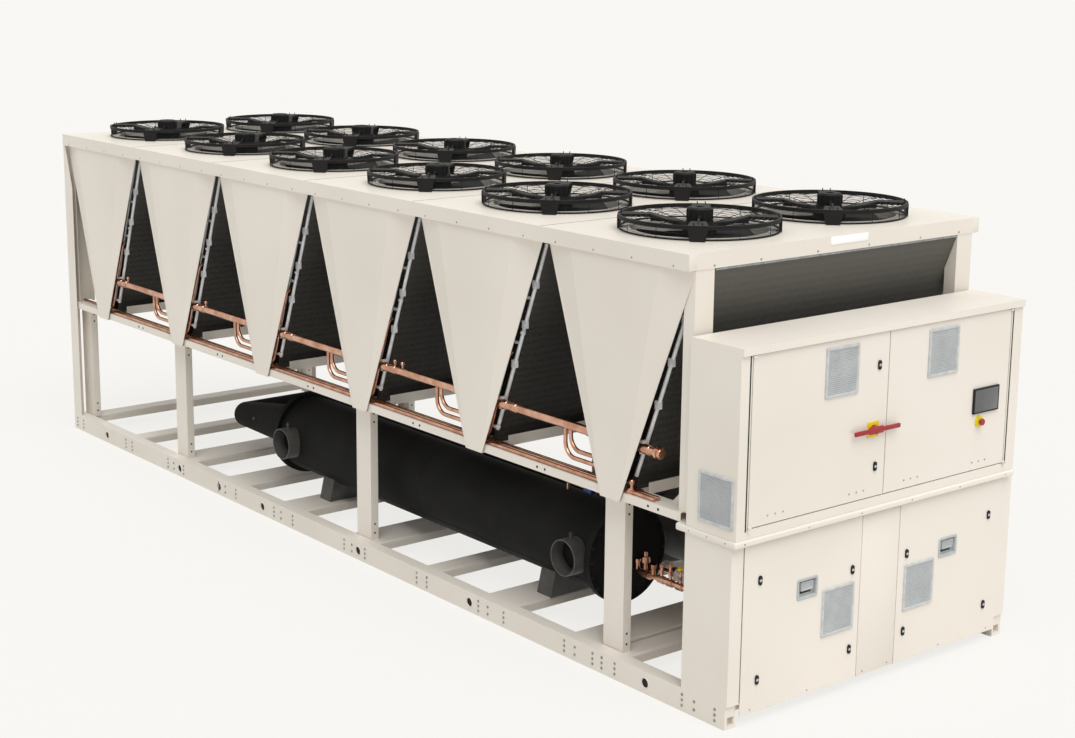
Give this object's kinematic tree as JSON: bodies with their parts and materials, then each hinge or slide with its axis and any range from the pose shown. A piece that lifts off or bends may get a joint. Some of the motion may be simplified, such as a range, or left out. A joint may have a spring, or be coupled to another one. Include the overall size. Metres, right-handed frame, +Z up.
{
  "type": "air-cooled screw chiller",
  "caption": "Outdoor chiller on a steel base: V-shaped coils under a deck of guarded axial fans, insulated evaporator with side nozzles, switch cabinet with two doors at one end.",
  "frame": {"origin": "middle of the footprint, at the floor", "axes": "+X along the unit towards the cabinet end, +Z up, -Y the long side with the water nozzles"},
  "size_m": [7.5601, 2.25, 2.509],
  "materials": {
    "paint": "smooth powder coat",
    "guard_black": "black coat on steel bar",
    "coil": "dark fin surface",
    "header": "drawn tube",
    "copper": "copper tube",
    "motor_black": "black coat",
    "insulation": "closed-cell foam sheet",
    "steel_grey": "grey primer",
    "galvanised": "galvanised sheet",
    "latch_black": "moulded",
    "gear_grey": "moulded cases",
    "yellow": "moulded",
    "red": "moulded",
    "screen": "display in a dark frame",
    "rotor_black": "moulded blades"
  },
  "bodies": {
    "chiller": {"base_rails": "paint", "base_cross_members": "paint", "frame_posts": "paint", "mid_rails": "paint", "coil_troughs": "paint", "v_side_panels": "paint", "condenser_coils": "coil", "coil_headers": "header", "copper_lines": "copper", "fan_deck": "paint", "deck_fascias": "paint", "fan_guards": "guard_black", "fan_motors": "motor_black", "evaporator_shell": "insulation", "evaporator_nozzles": "steel_grey", "evaporator_saddles": "steel_grey", "suction_line": "insulation", "compressor": "steel_grey", "liquid_lines": "copper", "lower_cabinet": "paint", "lower_panels": "paint", "lower_latches": "latch_black", "upper_cabinet": "paint", "mounting_plate": "galvanised", "switchgear": "gear_grey"},
    "left_door": {"door_left": "paint", "door_latches": "latch_black", "switch_plate": "yellow"},
    "switch_handle": {"main_switch_handle": "red"},
    "right_door": {"door_right": "paint", "display_screen": "screen", "estop_collar": "yellow"},
    "stop_button": {"estop_button": "red"},
    "fan_01": {"fan_rotor_01": "rotor_black"},
    "fan_02": {"fan_rotor_02": "rotor_black"},
    "fan_03": {"fan_rotor_03": "rotor_black"},
    "fan_04": {"fan_rotor_04": "rotor_black"},
    "fan_05": {"fan_rotor_05": "rotor_black"},
    "fan_06": {"fan_rotor_06": "rotor_black"},
    "fan_07": {"fan_rotor_07": "rotor_black"},
    "fan_08": {"fan_rotor_08": "rotor_black"},
    "fan_09": {"fan_rotor_09": "rotor_black"},
    "fan_10": {"fan_rotor_10": "rotor_black"},
    "fan_11": {"fan_rotor_11": "rotor_black"},
    "fan_12": {"fan_rotor_12": "rotor_black"}
  },
  "joints": [
    {"name": "fan_01_spin", "type": "hinge", "parent": "chiller", "child": "fan_01", "pos_m": [-3.18175, -0.509, 2.4], "axis": [0, 0, 1], "continuous": true},
    {"name": "fan_02_spin", "type": "hinge", "parent": "chiller", "child": "fan_02", "pos_m": [-1.98575, -0.509, 2.4], "axis": [0, 0, 1], "continuous": true},
    {"name": "fan_03_spin", "type": "hinge", "parent": "chiller", "child": "fan_03", "pos_m": [-0.78975, -0.509, 2.4], "axis": [0, 0, 1], "continuous": true},
    {"name": "fan_04_spin", "type": "hinge", "parent": "chiller", "child": "fan_04", "pos_m": [0.40625, -0.509, 2.4], "axis": [0, 0, 1], "continuous": true},
    {"name": "fan_05_spin", "type": "hinge", "parent": "chiller", "child": "fan_05", "pos_m": [1.60225, -0.509, 2.4], "axis": [0, 0, 1], "continuous": true},
    {"name": "fan_06_spin", "type": "hinge", "parent": "chiller", "child": "fan_06", "pos_m": [2.79825, -0.509, 2.4], "axis": [0, 0, 1], "continuous": true},
    {"name": "fan_07_spin", "type": "hinge", "parent": "chiller", "child": "fan_07", "pos_m": [-3.18175, 0.509, 2.4], "axis": [0, 0, 1], "continuous": true},
    {"name": "fan_08_spin", "type": "hinge", "parent": "chiller", "child": "fan_08", "pos_m": [-1.98575, 0.509, 2.4], "axis": [0, 0, 1], "continuous": true},
    {"name": "fan_09_spin", "type": "hinge", "parent": "chiller", "child": "fan_09", "pos_m": [-0.78975, 0.509, 2.4], "axis": [0, 0, 1], "continuous": true},
    {"name": "fan_10_spin", "type": "hinge", "parent": "chiller", "child": "fan_10", "pos_m": [0.40625, 0.509, 2.4], "axis": [0, 0, 1], "continuous": true},
    {"name": "fan_11_spin", "type": "hinge", "parent": "chiller", "child": "fan_11", "pos_m": [1.60225, 0.509, 2.4], "axis": [0, 0, 1], "continuous": true},
    {"name": "fan_12_spin", "type": "hinge", "parent": "chiller", "child": "fan_12", "pos_m": [2.79825, 0.509, 2.4], "axis": [0, 0, 1], "continuous": true},
    {"name": "left_door_hinge", "type": "hinge", "parent": "chiller", "child": "left_door", "pos_m": [3.75225, -1.037, 1.5], "axis": [0, 0, -1], "range_deg": [0, 110]},
    {"name": "right_door_hinge", "type": "hinge", "parent": "chiller", "child": "right_door", "pos_m": [3.75225, 0.975, 1.5], "axis": [0, 0, 1], "range_deg": [0, 110]},
    {"name": "main_switch_turn", "type": "hinge", "parent": "left_door", "child": "switch_handle", "pos_m": [3.76525, -0.14, 1.427], "axis": [1, 0, 0], "range_deg": [0, 90]},
    {"name": "stop_button_press", "type": "slide", "parent": "right_door", "child": "stop_button", "axis": [-1, 0, 0], "range_m": [0, 0.006], "stiffness_N_per_m": 300}
  ],
  "couplings": [
    {"joint": "right_door_hinge", "follows": "left_door_hinge", "ratio": 1}
  ]
}
